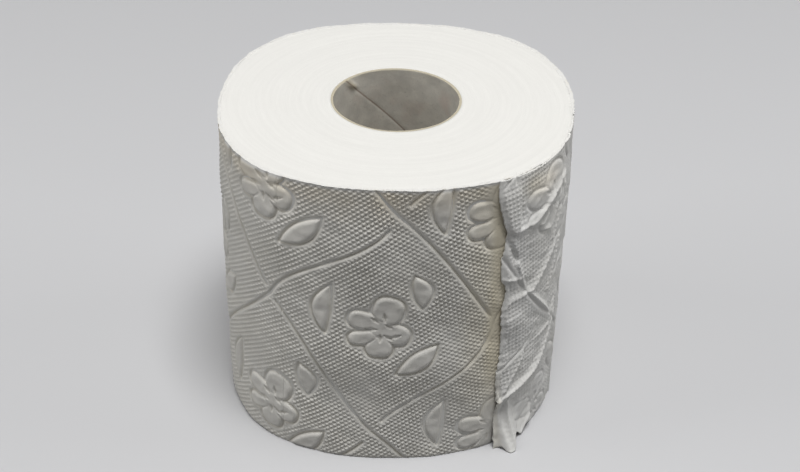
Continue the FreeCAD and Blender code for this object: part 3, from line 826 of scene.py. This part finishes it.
def make_sheet(name, low, high):
    """A stretch of the last turn: a closed wall with the pressed relief on its outer side.

    Its paper is stained by the glue beside the tail, with painted warm shade over it and painted shade
    in its pits, and a painted golden glow where light comes through the rim.
    """
    rows = int(round(sizes().width / pattern().cell_up)) + 1
    along, height = sheet_points(low, high, rows)
    radius = wall_radius(along, height)
    outer = polar(web_angle(along), radius, height)
    ends = along[[0, -1]]
    back = last_turn(ends) - sizes().layer
    inner = polar(web_angle(ends), back, height[[0, -1]])
    faces, smooth = shell_faces(rows, along.shape[1], 2, radius)
    points = np.concatenate([outer.reshape(-1, 3), inner.reshape(-1, 3)])
    y = height / MM
    x = along / MM
    # Painted highlight: a golden glow painted towards the top edge and in one spot near it, where light
    # would shine through the tissue.
    patchy = 0.7 + 0.3 * waves(x, y, 14.0, seed=51)
    warm = (0.35 * ease((y - 84) / 12) + 0.55 * ease((y - 92) / 5)) * patchy
    warm = warm + 0.5 * np.exp(-((x - 308.5) / 6) ** 2 - ((y - 94.5) / 4) ** 2)
    rim = 1 - ease((y - 98.2) / 1.5)
    # Painted shade: the 0.18 is a warm tint over the whole wall; the glue stain beside the tail is
    # real.
    glue_and_shade = np.clip((0.18 + glue_stain(along) * ease((y - 8) / 30)) * rim, 0, 1)
    # Painted shade: the pits and grooves of the relief are darkened through the glue tint.
    painted_pit_shade = 0.25 * np.clip(-pressed(along, height)[0] / (0.3 * MM), 0, 1)
    glue_and_shade = np.maximum(glue_and_shade, 0.6 * glue_and_shade + painted_pit_shade)
    back_side = np.zeros(inner.shape[0] * inner.shape[1])
    values = [("glue", np.concatenate([glue_and_shade.ravel(), back_side])),
              ("shine", np.concatenate([np.clip(warm * rim, 0, 1).ravel(), back_side]))]
    return put_mesh(name, points, faces, smooth, tissue_material(), values)


def make_tail():
    """The loose tail: a thin sheet with both sides modelled, creased and glued at its free edge."""
    roll = sizes()
    rows = int(round(roll.width / TAIL_CELL)) + 1
    columns = int(round(roll.tail_length / TAIL_CELL)) + 12
    share = np.linspace(0, 1, columns)[None, :]
    level = np.linspace(0, 1, rows)[:, None] + 0 * share
    edge = free_edge(level * roll.width)
    along = edge + (roll.tail_length - edge) * share
    x = along / MM
    top = roll.width + 0.1 * MM * waves(x, 0 * x, 2.1, seed=61)
    notch = 1.2 * np.exp(-((x + 0.2) / 0.4) ** 2)
    hollow = 2.6 * ease((x - 2.3) / 1.6) * ease((9.5 - x) / 3)
    prongs = 0.3 + notch + hollow
    rough = 0.5 * ease((x - 7) / 8) * ease((26 - x) / 10) * (1 + waves(x, 0 * x, 4.0, seed=62))
    bottom = np.maximum(prongs - 0.28 + rough, 0.02) * MM
    height = bottom + (top - bottom) * level
    lift = tail_lift(along, height)
    relief = tail_relief(along, height)
    climb = ease((along - roll.tail_length + 12 * MM) / (12 * MM))
    radius = outline(web_angle(along)) - roll.step * (1 - climb) + lift + relief
    outer = polar(web_angle(along), radius, height)
    closed = 0.3 * MM * ease((height / MM - 96.5) / 3) * ease((x - 14) / 6)
    back = radius - roll.web - climb * (roll.layer - roll.web) - closed
    inner = polar(web_angle(along), back, height)
    faces, smooth = shell_faces(rows, columns, rows, radius)
    points = np.concatenate([outer.reshape(-1, 3), inner.reshape(-1, 3)])
    y = height / MM
    spot = np.exp(-((x - 8) / 3.5) ** 2 - ((y - 95) / 3.5) ** 2)
    # Painted highlight: a golden glow painted under the top edge, where light would shine through the
    # tail.
    shine = 0.7 * np.exp(-((x - 14) / 7) ** 2 - ((y - 94) / 4) ** 2)
    spot = np.maximum(spot, 0.6 * ease((0.4 - x) / 1.2) * ease((32 - y) / 10))
    values = [("glue", np.concatenate([(0.5 * spot).ravel(), 0 * spot.ravel()])),
              ("shine", np.concatenate([shine.ravel(), 0 * spot.ravel()]))]
    return put_mesh("loose_tail", points, faces, smooth, tissue_material(), values)


def make_ends():
    """The winding behind the outer turn: both sawn ends as polar grids, joined by plain walls."""
    roll = sizes()
    around = 420
    across = 56
    angle = np.linspace(0, FULL_TURN, around, endpoint=False)[None, :] + np.zeros((across, 1))
    share = np.linspace(0, 1, across)[:, None]
    tube = roll.tube_radius
    along = np.mod(angle - sizes().tail_angle, FULL_TURN) * roll.radius
    covered = ease((along - 9 * MM) / (4 * MM)) * ease((roll.tail_length - along) / (4 * MM))
    under = np.where(along < roll.tail_length, along + FULL_TURN * roll.radius, along)
    rim = last_turn(under) - 0.6 * roll.layer * (1 - covered) - 0.03 * MM
    radius = tube + (rim - tube) * share
    turn = (radius - tube) / roll.step
    east = 2.4 * np.cos(angle)
    north = 2.4 * np.sin(angle)
    streak = 0.03 * waves(turn, east, 3.1, seed=71) + 0.05 * waves(turn, 3 * north, 13.0, seed=72)
    uneven = waves(20 * east, 20 * north, 9.0, seed=73)
    edge = -0.12 * (share ** 40) + 0.1 * np.exp(-((1 - share) / 0.03) ** 2) * uneven
    rise = (streak + edge) * MM * ease(share / 0.04)
    top = polar(angle, radius, roll.width + rise)
    bottom = polar(angle, radius, np.maximum(0.02 * MM - rise, 0.0))
    numbers = np.arange(across * around).reshape(across, around)
    numbers = np.concatenate([numbers, numbers[:, :1]], axis=1)
    low = numbers + across * around
    faces = [
        quads(numbers[:-1, :-1], numbers[1:, :-1], numbers[1:, 1:], numbers[:-1, 1:]),
        quads(low[:-1, :-1], low[:-1, 1:], low[1:, 1:], low[1:, :-1]),
        quads(low[-1, :-1], low[-1, 1:], numbers[-1, 1:], numbers[-1, :-1]),
        quads(low[0, 1:], low[0, :-1], numbers[0, :-1], numbers[0, 1:]),
    ]
    points = np.concatenate([top.reshape(-1, 3), bottom.reshape(-1, 3)])
    values = [("turn", turn), ("east", east), ("north", north)]
    values = [(label, np.tile(value.ravel(), 2)) for label, value in values]
    return put_mesh("wound_paper", points, faces, [True, True, False, False], end_material(),
                    values)


# The tube's seam: rise in one turn, angle where it meets the top end, the lap's size, and how far
# the lip of card at its top bends inwards.
SEAM_LEAD = 125.0 * MM
SEAM_TOP = math.radians(145.5)
LAP_STEP = 0.12 * MM
LAP_GAP = 0.15 * MM
LIP_BEND = 0.9 * MM


def make_tube():
    """The card tube: a bore with the open seam of its spiral winding, and plain outer wall."""
    roll = sizes()
    around = 256
    rows = 221
    bore = roll.tube_radius - roll.tube_wall
    angle = np.linspace(0, FULL_TURN, around, endpoint=False)[None, :] + np.zeros((rows, 1))
    height = np.linspace(0, roll.width, rows)[:, None] + 0 * angle
    seam = roll.width + (angle - SEAM_TOP) / FULL_TURN * SEAM_LEAD
    off = np.mod(height - seam + SEAM_LEAD / 2, SEAM_LEAD) - SEAM_LEAD / 2
    gap = LAP_GAP * np.exp(-(off / (0.45 * MM)) ** 2)
    lap = LAP_STEP * np.exp(-np.maximum(-off, 0) / (7 * MM)) * (off < 0)
    lip = ease((height - 94.5 * MM) / (3 * MM)) * np.exp(-((np.degrees(angle) - 134) / 10) ** 2)
    lip = LIP_BEND * lip * np.exp(-(off / (1.4 * MM)) ** 2)
    x = angle * bore / MM
    y = height / MM
    wavy = 0.06 * waves(x, y, 12.0, seed=81) * MM
    radius = bore + gap - lap * 0.6 - lip + wavy
    inner = polar(angle, radius, height)
    ends = height[[0, -1]]
    outer = polar(angle[[0, -1]], roll.tube_radius, ends)
    numbers = np.arange(rows * around).reshape(rows, around)
    numbers = np.concatenate([numbers, numbers[:, :1]], axis=1)
    wall = rows * around + np.arange(2 * around).reshape(2, around)
    wall = np.concatenate([wall, wall[:, :1]], axis=1)
    faces = [
        grid_quads(numbers)[:, ::-1],
        grid_quads(wall),
        quads(wall[1, :-1], wall[1, 1:], numbers[-1, 1:], numbers[-1, :-1]),
        quads(wall[0, 1:], wall[0, :-1], numbers[0, :-1], numbers[0, 1:]),
    ]
    points = np.concatenate([inner.reshape(-1, 3), outer.reshape(-1, 3)])
    worn = np.maximum(1 + 0.6 * waves(20 * np.cos(angle), 20 * np.sin(angle), 7.0, seed=82), 0.2)
    rim = 0.9 * np.exp(-(roll.width - height) / (0.35 * MM * worn)) + 1.2 * lip / LIP_BEND
    values = [
        ("rim", np.concatenate([np.clip(rim, 0, 1).ravel(), np.ones(2 * around)])),
        ("seam", np.concatenate([(off / MM).ravel(), np.full(2 * around, 9.0)])),
    ]
    return put_mesh("card_tube", points, faces, [True, True, False, False], card_material(),
                    values)


# Stage

# Lamps: name, place, side of the square and power in watts. They all shine at the roll's middle.
LAMPS = (
    ("top_lamp", (0.10, -0.26, 1.32), 0.45, 12.5),
    ("left_lamp", (-1.05, -0.10, 0.60), 0.6, 3.2),
    ("right_lamp", (1.05, 0.10, 0.60), 0.6, 2.5),
)
LAMP_TARGET = (0, 0, 0.05)
CAMERA_TARGET = Vector((2.1 * MM, 0, 49.2 * MM))
CAMERA_DISTANCE = 472.6 * MM
CAMERA_ELEVATION = math.radians(34.25)
CAMERA_ROLL = math.radians(1.3)
CAMERA_LENS = 65.16


def make_camera():
    """The photograph's view: from the front and above, level but for a slight roll."""
    back = Vector((0, -math.cos(CAMERA_ELEVATION), math.sin(CAMERA_ELEVATION)))
    level = Vector((1, 0, 0))
    above = back.cross(level)
    right = level * math.cos(CAMERA_ROLL) + above * math.sin(CAMERA_ROLL)
    up = back.cross(right)
    turn = Matrix((right, up, back)).transposed()
    camera = bpy.data.cameras.new("camera")
    camera.lens = CAMERA_LENS
    camera.clip_start = 0.01
    holder = bpy.data.objects.new("camera", camera)
    place = CAMERA_TARGET + back * CAMERA_DISTANCE
    holder.matrix_world = Matrix.Translation(place) @ turn.to_4x4()
    bpy.context.scene.collection.objects.link(holder)
    bpy.context.scene.camera = holder


def make_lamp(name, place, aim, size, power):
    """One soft square lamp that shines from a place towards another."""
    lamp = bpy.data.lights.new(name, "AREA")
    lamp.size = size
    lamp.energy = power
    holder = bpy.data.objects.new(name, lamp)
    place = Vector(place)
    holder.location = place
    holder.rotation_euler = (Vector(aim) - place).to_track_quat("-Z", "Y").to_euler()
    bpy.context.scene.collection.objects.link(holder)


def make_floor():
    """A wide plain floor."""
    half = 3.0
    mesh = bpy.data.meshes.new("floor")
    corners = [(-half, -half, 0), (half, -half, 0), (half, half, 0), (-half, half, 0)]
    mesh.from_pydata(corners, [], [(0, 1, 2, 3)])
    mesh.materials.append(floor_material())
    floor = bpy.data.objects.new("floor", mesh)
    bpy.context.scene.collection.objects.link(floor)


def make_world():
    """Soft light from all sides, and a pale background where a ray sees past the floor."""
    world = bpy.data.worlds.new("studio")
    world.use_nodes = True
    nodes = world.node_tree.nodes
    links = world.node_tree.links
    nodes.clear()
    glow = nodes.new("ShaderNodeBackground")
    glow.inputs["Color"].default_value = (1, 1, 1, 1)
    glow.inputs["Strength"].default_value = SOFT_LIGHT
    backdrop = nodes.new("ShaderNodeBackground")
    backdrop.inputs["Color"].default_value = (*colours().background, 1)
    mix = nodes.new("ShaderNodeMixShader")
    links.new(straight_rays(nodes, links), mix.inputs["Fac"])
    links.new(glow.outputs["Background"], mix.inputs[1])
    links.new(backdrop.outputs["Background"], mix.inputs[2])
    output = nodes.new("ShaderNodeOutputWorld")
    links.new(mix.outputs["Shader"], output.inputs["Surface"])
    bpy.context.scene.world = world


# Operators

class PAPERROLL_OT_stage(bpy.types.Operator):
    """Make the floor, the lamps, the background and the camera"""
    bl_idname = "paper_roll.stage"
    bl_label = "Stage"

    def execute(self, context):
        make_world()
        make_floor()
        for name, place, side, power in LAMPS:
            make_lamp(name, place, LAMP_TARGET, side, power)
        make_camera()
        context.scene.view_settings.view_transform = "Standard"
        return {"FINISHED"}


class PAPERROLL_OT_winding(bpy.types.Operator):
    """Make the wound paper and the stretches of its last turn"""
    bl_idname = "paper_roll.winding"
    bl_label = "Wound paper"

    def execute(self, context):
        roll = sizes()
        turn = FULL_TURN * roll.radius
        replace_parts(make_ends(), "paper_roll")
        stops = [roll.tail_length, 125 * MM, 200 * MM, 275 * MM, turn + 12 * MM]
        names = ("right_stretch", "back_stretch", "left_stretch", "front_stretch")
        for name, low, high in zip(names, stops, stops[1:]):
            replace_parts(make_sheet(name, low, high), "paper_roll")
        return {"FINISHED"}


class PAPERROLL_OT_tail(bpy.types.Operator):
    """Make the loose tail of the paper"""
    bl_idname = "paper_roll.tail"
    bl_label = "Loose tail"

    def execute(self, context):
        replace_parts(make_tail(), "paper_roll")
        return {"FINISHED"}


class PAPERROLL_OT_tube(bpy.types.Operator):
    """Make the card tube"""
    bl_idname = "paper_roll.tube"
    bl_label = "Card tube"

    def execute(self, context):
        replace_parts(make_tube(), "core_tube")
        return {"FINISHED"}


class PAPERROLL_PT_panel(bpy.types.Panel):
    """Sizes, colours and makers of the toilet paper roll"""
    bl_label = "Paper Roll"
    bl_idname = "PAPERROLL_PT_panel"
    bl_space_type = "VIEW_3D"
    bl_region_type = "UI"
    bl_category = "Paper Roll"

    def draw(self, context):
        layout = self.layout
        for group in (context.scene.roll_sizes, context.scene.emboss_sizes, context.scene.roll_colours):
            for name in group.__annotations__:
                layout.prop(group, name)
        for maker in OPERATORS:
            layout.operator(maker.bl_idname)


GROUPS = (
    (RollSizes, "roll_sizes"),
    (EmbossSizes, "emboss_sizes"),
    (RollColours, "roll_colours"),
)
OPERATORS = (PAPERROLL_OT_stage, PAPERROLL_OT_winding, PAPERROLL_OT_tail, PAPERROLL_OT_tube)


def register():
    """Register the classes and hang the property groups on the scene."""
    for group, label in GROUPS:
        bpy.utils.register_class(group)
        setattr(bpy.types.Scene, label, PointerProperty(type=group))
    for item in OPERATORS + (PAPERROLL_PT_panel,):
        bpy.utils.register_class(item)


def unregister():
    """Undo register."""
    for item in (PAPERROLL_PT_panel,) + OPERATORS[::-1]:
        bpy.utils.unregister_class(item)
    for group, label in GROUPS[::-1]:
        delattr(bpy.types.Scene, label)
        bpy.utils.unregister_class(group)


def main():
    """Build the whole scene."""
    register()
    bpy.ops.paper_roll.stage()
    bpy.ops.paper_roll.winding()
    bpy.ops.paper_roll.tail()
    bpy.ops.paper_roll.tube()


if __name__ == "__main__":
    main()
